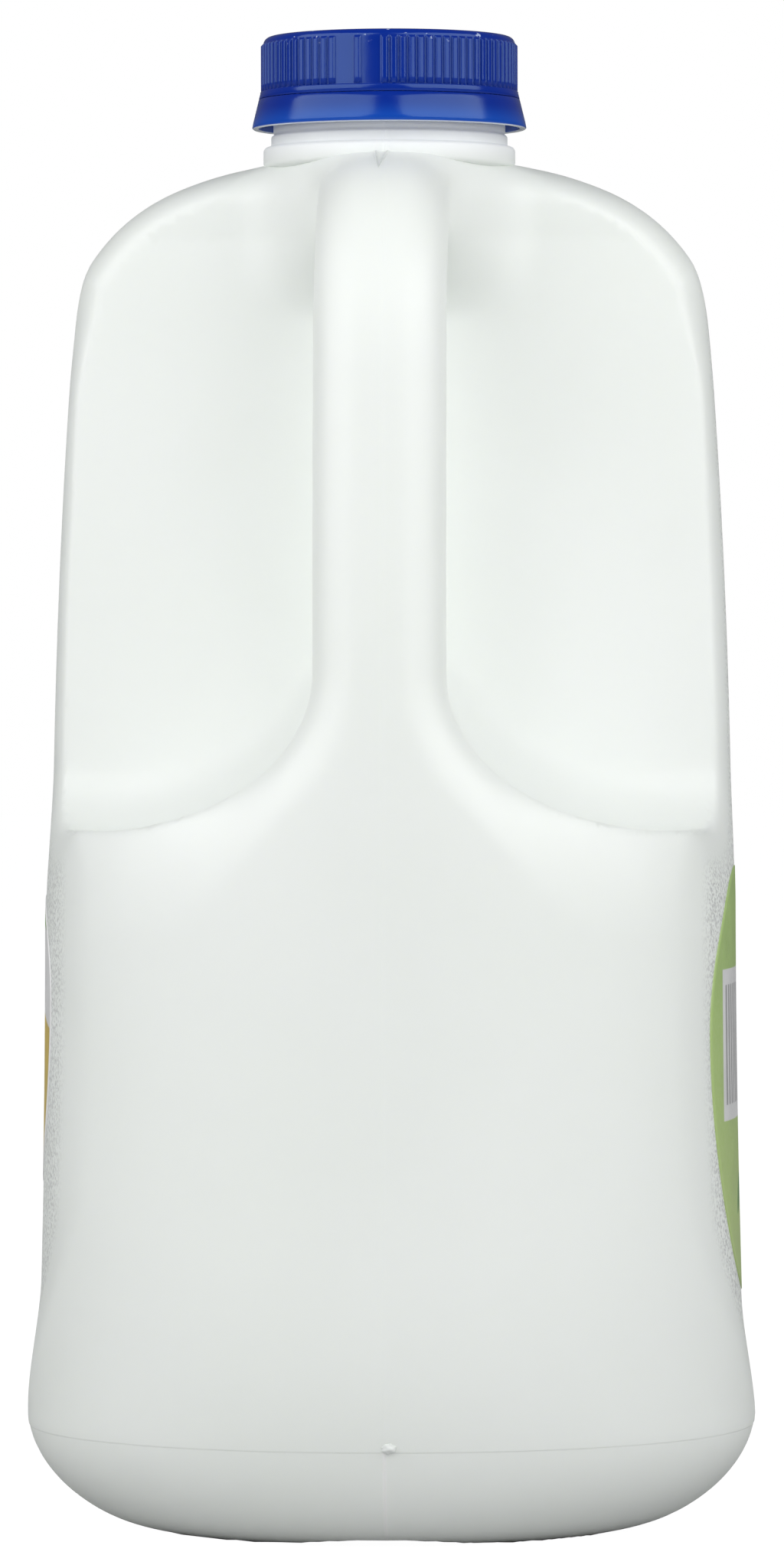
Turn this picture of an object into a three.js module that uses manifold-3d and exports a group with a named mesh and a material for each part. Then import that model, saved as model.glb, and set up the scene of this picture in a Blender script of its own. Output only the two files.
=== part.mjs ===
// Lemonade jug: a blow-moulded half-gallon jug with a handle in one face, a ribbed screw cap,
// its tamper band and a label on each side panel. Millimetres, +Z up, handle towards -Y.
import * as THREE from "three";
import { mergeVertices } from "three/addons/utils/BufferGeometryUtils.js";
import Module from "manifold-3d";

const { smoothstep } = THREE.MathUtils;

// Body envelope: a well rounded square in plan, with a foot that starts lower at the sides
const BODY_HALF = 58.8;
const FOOT_HALF = 37.8;
const SIDE_FOOT_Z = 17.4;
const SIDE_FOOT_POWER = 1.8;
const FRONT_FOOT_Z = 45;
const FRONT_FOOT_POWER = 2.7;
const TAPER_START_Z = 95;
const SIDE_TAPER_RADIUS = 1290;
const FRONT_TAPER_RADIUS = 740;
const PLAN_POWER = 2.2;
const ROUND_PLAN_POWER = 2;

// Shoulder: a superellipse arc from the tapered wall up to the neck
const SHOULDER_START_Z = 181;
const SHOULDER_TOP_Z = 217.6;
const SHOULDER_INNER = 11.2;
const SHOULDER_POWER = 2.65;
const PLAN_ROUNDS_FROM_Z = 150;
const CREST_RISE = 1.2;
const CREST_HALF = 24;

// Base: a shallow push-up inside the foot ring and a hollow along the parting line
const PUSH_UP_RISE = 5;
const PUSH_UP_HALF = 10;
const PUSH_UP_EDGE = 28.5;
const SEAM_HOLLOW_RISE = 1.1;
const SEAM_HOLLOW_FLAT = 3;
const SEAM_HOLLOW_HALF = 19;

// Side panels: gently bowed faces that carry the labels and end in a curve above the base
const PANEL_HALF = 55.25;
const PANEL_MID_Z = 100;
const PANEL_BOW_RADIUS = 105;
const PANEL_LEAN_UP_RADIUS = 1250;
const PANEL_LEAN_DOWN_RADIUS = 2100;
const PANEL_END_Z = 37;
const PANEL_END_RISE = 0.65;
const PANEL_END_SOFT = 4;
const PANEL_END_RADIUS = 50;
const PANEL_EDGE_RADIUS = 2.5;

// Handle recess: two scoops beside the handle and the finger gap behind it
const HANDLE_HALF = 10.3;
const HANDLE_THICKNESS = 15.5;
const HANDLE_FLARE_RADIUS = 25;
const HANDLE_EDGE_RADIUS = 7;
const HANDLE_BACK_EDGE_RADIUS = 3;
const HANDLE_FILLET = 3;
const LEDGE_Z = 112.6;
const LEDGE_SLOPE = 0.1;
const LEDGE_EDGE_RADIUS = 12;
const LEDGE_FILLET = 13;
const LEDGE_FADES_Z = [118, 148];
const LEDGE_SPREAD = [14, 34];
const SCOOP_DEPTH = 9.5;
const SCOOP_BOW = 0.95;
const SCOOP_BOW_POWER = 1.3;
const SCOOP_TOP_Z = 205;
const SCOOP_LEAN = 0.2;
const SCOOP_RADIUS = 600;
const BROW_REACH = 14;
const BROW_Z = [192, 212];
const BROW_X = [8, 24];
const GAP_Z = [134, 204];
const GAP_CORNER = 8;

// Neck: a carrying ring, a small collar and the plain finish under the cap
const NECK_ROOT_Z = 209;
const NECK_ROOT_RADIUS = 15.5;
const NECK_RADIUS = 18.6;
const NECK_TOP_Z = 235.8;
const NECK_TOP_FILLET = 0.8;
const RING_RADIUS = 20.2;
const RING_Z = [217, 220.3];
const RING_FILLET = 0.6;
const COLLAR_RADIUS = 18.95;
const COLLAR_TOP_Z = 222.2;
const NECK_SEGMENTS = 48;

// Cap: a shell over the neck with fine ribs, four of them left out beside one rib at the front
const CAP_TOP_Z = 237.95;
const CAP_BOTTOM_Z = 228;
const CAP_CORE_RADIUS = 20.2;
const CAP_TOP_FILLET = 1.2;
const CAP_BORE_RADIUS = 18.95;
const CAP_PLATE = 1.6;
const RIB_COUNT = 88;
const RIB_REACH = 0.4;
const RIB_Z = [229.2, 236.9];
const RIB_ROOT_OVERLAP = 0.4;
const RIB_WINDOW_AT = 4;
const RIB_WINDOW_SPREAD = 2;
const FRONT_ANGLE = -Math.PI / 2;

// Tamper band: a thin ring below the score line; the cap's skirt and the band share one flare
const FLARE_TOP_Z = 228.9;
const FLARE_BOTTOM_Z = 223.6;
const FLARE_TOP_RADIUS = 20.7;
const FLARE_BOTTOM_RADIUS = 22;
const BAND_TOP_Z = 227.7;
const BAND_BOTTOM_Z = 223.2;
const BAND_WALL = 1.1;
const BAND_SEGMENTS = 64;

// Labels: egg-shaped sheets lying on the side panels, the left one smaller
const LEFT_LABEL = { side: -1, midZ: 84, half: 21.8, rise: 16.5, drop: 30 };
const RIGHT_LABEL = { side: 1, midZ: 79, half: 28.6, rise: 26, drop: 42 };
const LABEL_GAP = 0.3;
const LABEL_THICKNESS = 0.4;
const LABEL_RINGS = 3;
const LABEL_SPOKES = 28;

// Facets of the jug: spacing of the net laid over its surface, and how it is drawn on to it
const NET_STEP = 5.1;
const SLOPE_STEP = 0.02;
const DRAW_ROUNDS = 6;

const mix = (from, to, share) => from + (to - from) * share;

// Fillet between two shapes that are joined
function roundUnion(a, b, radius) {
  const nearA = Math.max(radius - a, 0);
  const nearB = Math.max(radius - b, 0);
  return Math.max(radius, Math.min(a, b)) - Math.hypot(nearA, nearB);
}

// Rounded edge where two shapes overlap
function roundOverlap(a, b, radius) {
  return -roundUnion(-a, -b, radius);
}

// A quarter of a superellipse, 1 at share 0 and 0 at share 1
function quarterCurve(share, power) {
  const held = Math.min(Math.max(share, 0), 1);
  return (1 - held ** power) ** (1 / power);
}

// Top of the shoulder: it swells a little along the parting line
function shoulderTop(x) {
  return SHOULDER_TOP_Z + CREST_RISE * (1 - smoothstep(Math.abs(x), 0, CREST_HALF));
}

// Half width of a wall that curves in to the foot and leans in towards the shoulder
function wallHalf(z, footTop, footPower, taperRadius) {
  const foot = quarterCurve((footTop - z) / footTop, footPower);
  const climb = Math.max(z - TAPER_START_Z, 0);
  return mix(FOOT_HALF, BODY_HALF, foot) - climb ** 2 / (2 * taperRadius);
}

function sideWall(z) {
  return wallHalf(z, SIDE_FOOT_Z, SIDE_FOOT_POWER, SIDE_TAPER_RADIUS);
}

// Depth of the body for its width: less near the base and towards the shoulder
function frontShare(z) {
  return wallHalf(z, FRONT_FOOT_Z, FRONT_FOOT_POWER, FRONT_TAPER_RADIUS) / sideWall(z);
}

// Half width of the envelope at a height
function bodyHalf(x, z) {
  const rise = (z - SHOULDER_START_Z) / (shoulderTop(x) - SHOULDER_START_Z);
  return mix(SHOULDER_INNER, sideWall(z), quarterCurve(rise, SHOULDER_POWER));
}

// Distance from the axis measured on the rounded square
function planReach(x, y, z) {
  const power = mix(PLAN_POWER, ROUND_PLAN_POWER, smoothstep(z, PLAN_ROUNDS_FROM_Z, SHOULDER_TOP_Z));
  return (Math.abs(x) ** power + Math.abs(y / frontShare(z)) ** power) ** (1 / power);
}

// Height of the underside: push-up in the middle, hollow along the parting line
function undersideHeight(x, y) {
  const pushUp = 1 - smoothstep(planReach(x, y, 0), PUSH_UP_HALF, PUSH_UP_EDGE);
  const hollow = 1 - smoothstep(Math.abs(x), SEAM_HOLLOW_FLAT, SEAM_HOLLOW_HALF);
  return Math.max(PUSH_UP_RISE * pushUp, SEAM_HOLLOW_RISE * hollow);
}

function envelope(x, y, z) {
  const low = bodyHalf(x, z - SLOPE_STEP);
  const high = bodyHalf(x, z + SLOPE_STEP);
  const slope = (high - low) / (2 * SLOPE_STEP);
  const wall = (planReach(x, y, z) - bodyHalf(x, z)) / Math.hypot(1, slope);
  return Math.max(wall, undersideHeight(x, y) - z, z - shoulderTop(x));
}

// Half width of the bowed side panel at a depth and a height
function panelHalf(y, z) {
  const up = Math.max(z - PANEL_MID_Z, 0);
  const down = Math.max(PANEL_MID_Z - z, 0);
  const endRise = Math.hypot(PANEL_END_RISE * y, PANEL_END_SOFT) - PANEL_END_SOFT;
  const end = Math.max(PANEL_END_Z + endRise - z, 0);
  const lean = down ** 2 / (2 * PANEL_LEAN_DOWN_RADIUS) - up ** 2 / (2 * PANEL_LEAN_UP_RADIUS);
  return PANEL_HALF + lean + end ** 2 / (2 * PANEL_END_RADIUS) - y ** 2 / (2 * PANEL_BOW_RADIUS);
}

// Depth of the wall that runs beside and behind the handle: it leans back, with a brow at its top
function scoopWall(x, z) {
  const below = Math.max(SCOOP_TOP_Z - z, 0);
  const brow = smoothstep(z, ...BROW_Z) * (1 - smoothstep(Math.abs(x), ...BROW_X));
  const depth = SCOOP_DEPTH + SCOOP_LEAN * below + below ** 2 / (2 * SCOOP_RADIUS) + BROW_REACH * brow;
  return -depth * (1 - SCOOP_BOW * Math.abs(x / BODY_HALF) ** SCOOP_BOW_POWER);
}

// The handle as an upright bar, cut free behind where the fingers go
function handleBar(x, y, z) {
  const handleBack = HANDLE_THICKNESS - bodyHalf(0, z) * frontShare(z);
  const along = Math.max(GAP_Z[0] - z, z - GAP_Z[1]);
  const gap = roundOverlap(handleBack - y, along, GAP_CORNER);
  return roundOverlap(Math.abs(x) - HANDLE_HALF, -gap, HANDLE_BACK_EDGE_RADIUS);
}

// The scoops and the finger gap; the ledge below them rises a little with its depth in the body
function handleRecess(x, y, z, depth) {
  const ledge = z - LEDGE_Z - LEDGE_SLOPE * Math.max(depth, 0);
  const handleAndLedge = roundUnion(handleBar(x, y, z), ledge, HANDLE_FLARE_RADIUS);
  const fillet = mix(LEDGE_FILLET, HANDLE_FILLET, smoothstep(z, ...LEDGE_FADES_Z));
  return roundOverlap(y - scoopWall(x, z), -handleAndLedge, fillet);
}

// Signed distance to the jug's surface below the neck, negative inside
function jugBody(x, y, z) {
  const sides = Math.abs(x) - panelHalf(y, z);
  const outside = roundOverlap(envelope(x, y, z), sides, PANEL_EDGE_RADIUS);
  const edge = mix(HANDLE_EDGE_RADIUS, LEDGE_EDGE_RADIUS, smoothstep(Math.abs(x), ...LEDGE_SPREAD));
  return roundOverlap(outside, -handleRecess(x, y, z, -outside), edge);
}

function slopeOf(shape, p) {
  const h = SLOPE_STEP;
  return new THREE.Vector3(
    shape(p.x + h, p.y, p.z) - shape(p.x - h, p.y, p.z),
    shape(p.x, p.y + h, p.z) - shape(p.x, p.y - h, p.z),
    shape(p.x, p.y, p.z + h) - shape(p.x, p.y, p.z - h),
  ).divideScalar(2 * h);
}

// Move a point of the net on to the surface
function drawOn(shape, p) {
  for (let round = 0; round < DRAW_ROUNDS; round += 1) {
    const slope = slopeOf(shape, p);
    const miss = shape(p.x, p.y, p.z);
    const share = THREE.MathUtils.clamp(miss / Math.max(slope.lengthSq(), SLOPE_STEP), -1, 1);
    p.addScaledVector(slope, -share);
  }
  return p;
}

const CELL_CORNERS = [0, 1, 2, 3, 4, 5, 6, 7].map((bits) => [bits & 1, (bits >> 1) & 1, (bits >> 2) & 1]);

// Middle of the places where a cell's edges cross the surface, or null when none does
function cellPoint(lines, valueAt, cell) {
  const middle = new THREE.Vector3();
  let crossings = 0;
  for (const corner of CELL_CORNERS) {
    for (let axis = 0; axis < 3; axis += 1) {
      if (corner[axis]) continue;
      const from = cell.map((index, k) => index + corner[k]);
      const to = from.map((index, k) => index + (k === axis ? 1 : 0));
      const a = valueAt(...from);
      const b = valueAt(...to);
      if (a < 0 === b < 0) continue;
      const place = from.map((index, k) => mix(lines[k][index], lines[k][to[k]], a / (a - b)));
      middle.add(new THREE.Vector3(...place));
      crossings += 1;
    }
  }
  return crossings ? middle.divideScalar(crossings) : null;
}

// Closed net of triangles over a shape: one point in each cell that the surface passes through
function netOver(shape, lines) {
  const counts = lines.map((line) => line.length);
  const at = (i, j, k) => (i * counts[1] + j) * counts[2] + k;
  const values = new Float64Array(counts[0] * counts[1] * counts[2]);
  lines[0].forEach((x, i) => lines[1].forEach((y, j) => lines[2].forEach((z, k) => {
    values[at(i, j, k)] = shape(x, y, z);
  })));
  const valueAt = (i, j, k) => values[at(i, j, k)];
  const points = [];
  const pointOf = new Map();
  const triangles = [];
  for (let i = 0; i < counts[0] - 1; i += 1) {
    for (let j = 0; j < counts[1] - 1; j += 1) {
      for (let k = 0; k < counts[2] - 1; k += 1) {
        const middle = cellPoint(lines, valueAt, [i, j, k]);
        if (!middle) continue;
        pointOf.set(at(i, j, k), points.length);
        points.push(drawOn(shape, middle));
      }
    }
  }
  const addQuad = (corners, turned) => {
    const [a, b, c, d] = turned ? [...corners].reverse() : corners;
    const shortDiagonal = points[a].distanceTo(points[c]) <= points[b].distanceTo(points[d]);
    triangles.push(...(shortDiagonal ? [a, b, c, a, c, d] : [a, b, d, b, c, d]));
  };
  for (let i = 1; i < counts[0] - 1; i += 1) {
    for (let j = 1; j < counts[1] - 1; j += 1) {
      for (let k = 1; k < counts[2] - 1; k += 1) {
        const inside = valueAt(i, j, k) < 0;
        const neighbours = [[0, 1, 2], [1, 2, 0], [2, 0, 1]];
        for (const [along, across, third] of neighbours) {
          const step = [0, 0, 0];
          step[along] = 1;
          if (valueAt(i + step[0], j + step[1], k + step[2]) < 0 === inside) continue;
          const corners = [[0, 0], [1, 0], [1, 1], [0, 1]].map(([u, v]) => {
            const cell = [i, j, k];
            cell[across] -= u;
            cell[third] -= v;
            return pointOf.get(at(...cell));
          });
          addQuad(corners, !inside);
        }
      }
    }
  }
  const net = new THREE.BufferGeometry();
  net.setAttribute("position", new THREE.Float32BufferAttribute(points.flatMap((p) => p.toArray()), 3));
  net.setIndex(triangles);
  return net;
}

// Evenly spaced lines that run at least one step past both ends, centred between them
function evenLines(low, high) {
  const cells = Math.ceil((high - low) / NET_STEP) + 2;
  const start = (low + high - cells * NET_STEP) / 2;
  return Array.from({ length: cells + 1 }, (_, index) => start + index * NET_STEP);
}

// Ring or disc turned about Z from a closed outline of [radius, height] points
function turned(outline, segments) {
  const points = outline.map(([radius, z]) => new THREE.Vector2(radius, z));
  return new THREE.LatheGeometry(points, segments).rotateX(Math.PI / 2);
}

// Quarter round of an outline, from angle to angle about a centre
function arc(centreRadius, centreZ, radius, fromAngle, toAngle, steps = 3) {
  return Array.from({ length: steps + 1 }, (_, index) => {
    const angle = mix(fromAngle, toAngle, index / steps);
    return [centreRadius + radius * Math.cos(angle), centreZ + radius * Math.sin(angle)];
  });
}

const wasm = await Module();
wasm.setup();

function solidOf(geometry) {
  const bare = new THREE.BufferGeometry();
  bare.setAttribute("position", geometry.getAttribute("position").clone());
  if (geometry.index) bare.setIndex(geometry.index.clone());
  const joined = mergeVertices(bare, 1e-4);
  const flatFree = [];
  for (let t = 0; t < joined.index.count; t += 3) {
    const corners = [0, 1, 2].map((k) => joined.index.getX(t + k));
    if (new Set(corners).size === 3) flatFree.push(...corners);
  }
  return new wasm.Manifold(new wasm.Mesh({
    numProp: 3,
    vertProperties: new Float32Array(joined.getAttribute("position").array),
    triVerts: new Uint32Array(flatFree),
  }));
}

function geometryOf(solid) {
  const mesh = solid.getMesh();
  const geometry = new THREE.BufferGeometry();
  geometry.setAttribute("position", new THREE.Float32BufferAttribute(mesh.vertProperties, 3));
  geometry.setIndex([...mesh.triVerts]);
  geometry.computeVertexNormals();
  return geometry;
}

function buildJug() {
  const across = evenLines(-BODY_HALF, BODY_HALF);
  const up = evenLines(-NET_STEP / 4, SHOULDER_TOP_Z + CREST_RISE);
  const body = solidOf(netOver(jugBody, [across, across, up]));
  const quarter = Math.PI / 2;
  const neck = turned([
    [0, NECK_ROOT_Z],
    [NECK_ROOT_RADIUS, NECK_ROOT_Z],
    [NECK_RADIUS, RING_Z[0] - RING_FILLET],
    ...arc(RING_RADIUS - RING_FILLET, RING_Z[0] + RING_FILLET, RING_FILLET, -quarter, 0, 1),
    ...arc(RING_RADIUS - RING_FILLET, RING_Z[1] - RING_FILLET, RING_FILLET, 0, quarter, 1),
    [COLLAR_RADIUS, RING_Z[1]],
    [COLLAR_RADIUS, COLLAR_TOP_Z - RING_FILLET],
    [NECK_RADIUS, COLLAR_TOP_Z],
    [NECK_RADIUS, NECK_TOP_Z - NECK_TOP_FILLET],
    [NECK_RADIUS - NECK_TOP_FILLET, NECK_TOP_Z],
    [0, NECK_TOP_Z],
  ], NECK_SEGMENTS);
  return geometryOf(body.add(solidOf(neck)));
}

// Radius of the flare that the cap's skirt and the tamper band share
function flareRadius(z) {
  const share = THREE.MathUtils.clamp((FLARE_TOP_Z - z) / (FLARE_TOP_Z - FLARE_BOTTOM_Z), 0, 1);
  return mix(FLARE_TOP_RADIUS, FLARE_BOTTOM_RADIUS, share);
}

// A rib stands at every place round the cap but the four of the plain windows
function ribStands(index) {
  const fromWindow = Math.abs(index - (RIB_COUNT - RIB_WINDOW_AT));
  return fromWindow === 0 || fromWindow > RIB_WINDOW_SPREAD;
}

function buildCap() {
  const ribbed = new THREE.Shape();
  for (let index = 0; index < RIB_COUNT; index += 1) {
    const reach = CAP_CORE_RADIUS + (ribStands(index) ? RIB_REACH : 0);
    [[index, reach], [index + 0.5, CAP_CORE_RADIUS]].forEach(([place, radius]) => {
      const angle = FRONT_ANGLE + (place / RIB_COUNT) * 2 * Math.PI;
      const point = [radius * Math.cos(angle), radius * Math.sin(angle)];
      if (index === 0 && place === 0) ribbed.moveTo(...point);
      else ribbed.lineTo(...point);
    });
  }
  const inner = new THREE.Path();
  inner.absarc(0, 0, CAP_CORE_RADIUS - RIB_ROOT_OVERLAP, 0, 2 * Math.PI, true);
  ribbed.holes.push(inner);
  const ribs = new THREE.ExtrudeGeometry(ribbed, {
    depth: RIB_Z[1] - RIB_Z[0] + RIB_ROOT_OVERLAP,
    bevelEnabled: false,
    curveSegments: NECK_SEGMENTS / 2,
  }).translate(0, 0, RIB_Z[0] - RIB_ROOT_OVERLAP);
  const shell = turned([
    [CAP_BORE_RADIUS, CAP_BOTTOM_Z],
    [flareRadius(CAP_BOTTOM_Z), CAP_BOTTOM_Z],
    [FLARE_TOP_RADIUS, FLARE_TOP_Z],
    [FLARE_TOP_RADIUS, RIB_Z[0]],
    [CAP_CORE_RADIUS, RIB_Z[0]],
    ...arc(CAP_CORE_RADIUS - CAP_TOP_FILLET, CAP_TOP_Z - CAP_TOP_FILLET, CAP_TOP_FILLET, 0, Math.PI / 2),
    [0, CAP_TOP_Z],
    [0, CAP_TOP_Z - CAP_PLATE],
    [CAP_BORE_RADIUS, CAP_TOP_Z - CAP_PLATE],
    [CAP_BORE_RADIUS, CAP_BOTTOM_Z],
  ], RIB_COUNT / 2);
  return geometryOf(solidOf(shell).add(solidOf(ribs)));
}

function buildBand() {
  const heights = [BAND_BOTTOM_Z, FLARE_BOTTOM_Z, BAND_TOP_Z];
  const outside = heights.map((z) => [flareRadius(z), z]);
  const inside = heights.map((z) => [flareRadius(z) - BAND_WALL, z]).reverse();
  return turned([inside[inside.length - 1], ...outside, ...inside], BAND_SEGMENTS);
}

// Sideways reach of the surface at a depth and a height, with a stand-off
function sideReach(y, z, standOff) {
  let x = panelHalf(y, z);
  for (let round = 0; round < DRAW_ROUNDS; round += 1) x += standOff - jugBody(x, y, z);
  return x;
}

// Point of a label at a share of the way from its middle to its rim, standing off the panel
function labelPoint(label, share, angle, standOff) {
  const y = share * label.half * Math.cos(angle);
  const reach = Math.sin(angle) > 0 ? label.rise : label.drop;
  const z = label.midZ + share * reach * Math.sin(angle);
  return [label.side * sideReach(y, z, standOff), y, z];
}

function buildLabel(label) {
  const points = [];
  const triangles = [];
  const faces = [LABEL_GAP, LABEL_GAP + LABEL_THICKNESS].map((standOff) => {
    const first = points.length;
    points.push(labelPoint(label, 0, 0, standOff));
    for (let ring = 1; ring <= LABEL_RINGS; ring += 1) {
      for (let spoke = 0; spoke < LABEL_SPOKES; spoke += 1) {
        const angle = (spoke / LABEL_SPOKES) * 2 * Math.PI;
        points.push(labelPoint(label, ring / LABEL_RINGS, angle, standOff));
      }
    }
    return (ring, spoke) => (ring ? first + 1 + (ring - 1) * LABEL_SPOKES + (spoke % LABEL_SPOKES) : first);
  });
  const add = (a, b, c, outward) => triangles.push(...(outward === label.side > 0 ? [a, b, c] : [a, c, b]));
  for (let spoke = 0; spoke < LABEL_SPOKES; spoke += 1) {
    faces.forEach((at, layer) => {
      const outward = layer === 1;
      add(at(0, 0), at(1, spoke), at(1, spoke + 1), outward);
      for (let ring = 1; ring < LABEL_RINGS; ring += 1) {
        add(at(ring, spoke), at(ring + 1, spoke), at(ring + 1, spoke + 1), outward);
        add(at(ring, spoke), at(ring + 1, spoke + 1), at(ring, spoke + 1), outward);
      }
    });
    const [under, over] = faces;
    add(under(LABEL_RINGS, spoke), under(LABEL_RINGS, spoke + 1), over(LABEL_RINGS, spoke + 1), true);
    add(under(LABEL_RINGS, spoke), over(LABEL_RINGS, spoke + 1), over(LABEL_RINGS, spoke), true);
  }
  const sheet = new THREE.BufferGeometry();
  sheet.setAttribute("position", new THREE.Float32BufferAttribute(points.flat(), 3));
  sheet.setIndex(triangles);
  sheet.computeVertexNormals();
  return sheet;
}

function piece(name, geometry, color, roughness) {
  const mesh = new THREE.Mesh(geometry, new THREE.MeshStandardMaterial({ color, roughness }));
  mesh.name = name;
  return mesh;
}

const jug = new THREE.Group();
jug.name = "lemonade_jug";
jug.add(
  piece("jug", buildJug(), "#e9ecea", 0.45),
  piece("cap", buildCap(), "#1f46b4", 0.35),
  piece("tamper_band", buildBand(), "#1f46b4", 0.35),
  piece("label_left", buildLabel(LEFT_LABEL), "#e6c94a", 0.5),
  piece("label_right", buildLabel(RIGHT_LABEL), "#9ab06c", 0.5),
);

export default jug;
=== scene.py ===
import math

import bmesh
import bpy
import numpy as np
from mathutils import Matrix, Vector


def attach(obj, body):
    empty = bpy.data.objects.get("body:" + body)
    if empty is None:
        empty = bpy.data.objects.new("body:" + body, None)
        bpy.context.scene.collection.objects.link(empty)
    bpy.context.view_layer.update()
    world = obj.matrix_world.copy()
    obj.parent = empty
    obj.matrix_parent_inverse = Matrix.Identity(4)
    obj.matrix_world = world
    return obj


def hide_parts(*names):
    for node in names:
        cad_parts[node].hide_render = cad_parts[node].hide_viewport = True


MM = 0.001
QUARTER = math.pi / 2
FRONT_ANGLE = -math.pi / 2

# Body envelope: a well rounded square in plan, with a foot that starts lower at the sides
BODY_HALF = 58.4
FOOT_HALF = 37.8
SIDE_FOOT_Z = 17.4
SIDE_FOOT_POWER = 1.8
FRONT_FOOT_Z = 45
FRONT_FOOT_POWER = 2.7
FRONT_FOOT_CORNER_RISE = 25
TAPER_START_Z = 95
SIDE_TAPER_RADIUS = 1290
FRONT_TAPER_RADIUS = 740
PLAN_POWER = 2.2
ROUND_PLAN_POWER = 2

# Shoulder: a superellipse arc from the tapered wall up to the neck
SHOULDER_START_Z = 181
SHOULDER_TOP_Z = 217.6
SHOULDER_INNER = 11.2
SHOULDER_POWER = 2.65
PLAN_ROUNDS_FROM_Z = 150
CREST_RISE = 1.2
CREST_HALF = 24

# Base: a shallow push-up inside the foot ring and a hollow along the parting line
PUSH_UP_RISE = 5
PUSH_UP_HALF = 10
PUSH_UP_EDGE = 28.5
SEAM_HOLLOW_RISE = 1.1
SEAM_HOLLOW_FLAT = 3
SEAM_HOLLOW_HALF = 19

# Side panels: gently bowed faces that carry the labels and end in a curve above the base
PANEL_HALF = 55.25
PANEL_MID_Z = 100
PANEL_BOW_RADIUS = 105
PANEL_LEAN_UP_RADIUS = 1250
PANEL_LEAN_DOWN_RADIUS = 2100
PANEL_END_Z = 37
PANEL_END_RISE = 0.65
PANEL_END_SOFT = 4
PANEL_END_RADIUS = 50
PANEL_EDGE_RADIUS = 2.5
# The side panels' mould grain also carries dark specks of painted shade on these sideways faces
PANEL_GRAIN_AND_SHADE_EDGE = 1.5
PANEL_GRAIN_AND_SHADE_FADES = (0.4, 1.2)
LEFT_GRAIN_AND_SHADE = 0.8

# Handle recess: two scoops beside the handle and the finger gap behind it
HANDLE_HALF = 10.3
HANDLE_THICKNESS = 15.5
HANDLE_FLARE = (36, 25)
HANDLE_EDGE_RADIUS = 7
HANDLE_BACK_EDGE_RADIUS = 3
HANDLE_FILLET = 3
LEDGE_Z = 111.6
LEDGE_FALL = 0.1
LEDGE_EDGE_DEPTH = 3
LEDGE_EDGE_HEIGHT = 18
SHOULDER_EDGE_DEPTH = 6
SHOULDER_EDGE_Z = (180, 202)
LEDGE_FILLET = 12
LEDGE_FADES_Z = (118, 148)
LEDGE_SPREAD = (14, 34)
SCOOP_DEPTH = 9.5
SCOOP_BOW = 0.95
SCOOP_BOW_POWER = 1.3
SCOOP_TOP_Z = 205
SCOOP_LEAN = 0.2
SCOOP_RADIUS = 600
BROW_REACH = 14
BROW_Z = (192, 212)
BROW_X = (8, 24)
GAP_Z = (134, 204)
GAP_CORNER = 8

# Mould marks: the parting line, the line of the base insert and the flash left where they meet
PARTING_X = 0.8
PARTING_RIDGE = 0.13
PARTING_FAINT = 0.035
PARTING_WIDTH = 0.3
INSERT_Z = 15.8
INSERT_STEP = 0.1
INSERT_STEP_WIDTH = 0.3
FOOT_FADE_Z = (0.3, 5)
LUMP_OFFSET = (0.75, 0.7)
LUMP_HALF = (1.15, 0.55, 0.8)
FLASH_LENGTH = 3.7
FLASH_HEIGHT = 0.2
FLASH_HALF = 0.3
FLASH_STARTS = (-1.5, 0.5)
FLASH_MEETS = -0.55
FLASH_ROWS = 14
FLASH_SIDES = 8

# Neck: a carrying ring, a small collar and the plain finish under the cap
NECK_ROOT_Z = 209
NECK_ROOT_RADIUS = 15.5
NECK_RADIUS = 18.6
NECK_TOP_Z = 235.8
RING_RADIUS = 20.2
RING_Z = (217, 220.3)
RING_FILLET = 0.8
COLLAR_RADIUS = 18.95
COLLAR_TOP_Z = 222.2
COLLAR_FILLET = 0.5
NECK_SEAM = 0.16
NECK_SEAM_HALF = 0.3
NECK_STEPS = 720

# Cap: a shell over the neck with fine ribs, four of them left out beside one rib at the front
CAP_TOP_Z = 237.95
CAP_BOTTOM_Z = 228
CAP_CORE_RADIUS = 20.2
CAP_TOP_FILLET = 1.2
CAP_EDGE = 0.12
CAP_BORE_RADIUS = 18.95
CAP_PLATE = 1.6
CAP_DISH_RADIUS = 16
CAP_DISH_DEPTH = 0.25
CAP_GATE_RADIUS = 1.6
RIB_COUNT = 88
RIB_REACH = 0.4
RIB_Z = (229.2, 236.9)
RIB_FLAT = 0.22
RIB_FOOT = 0.42
RIB_WINDOW_AT = 3
RIB_WINDOW_SPREAD = 2
STEPS_PER_RIB = 12

# Tamper band: the cap's skirt and the band share one flare
FLARE_TOP_Z = 228.9
FLARE_BOTTOM_Z = 223.6
FLARE_TOP_RADIUS = 20.7
FLARE_BOTTOM_RADIUS = 22
BAND_TOP_Z = 227.92
BAND_BOTTOM_Z = 223.2
BAND_WALL = 1.1
BAND_EDGE = 0.2
SCORE_EDGE = 0.06
BAND_PALER_FROM_Z = 226.8
BAND_STEPS = 288

# Labels: egg-shaped films on the side panels, with a turned-in rim; the left one is smaller
LEFT_LABEL = {"side": -1, "mid_z": 84, "half": 21.8, "rise": 16.5, "drop": 30}
RIGHT_LABEL = {"side": 1, "mid_z": 79, "half": 28.6, "rise": 26, "drop": 42}
LABEL_STAND_OFF = 0.12
LABEL_SINK = 0.3
LABEL_RINGS = 24
LABEL_SPOKES = 96

# Net laid over the jug's surface
NET_STEP = 1.5
FINE_STEP = 0.16
FINE_COUNT = 4
SLOPE_STEP = 0.02
DRAW_ROUNDS = 4

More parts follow.
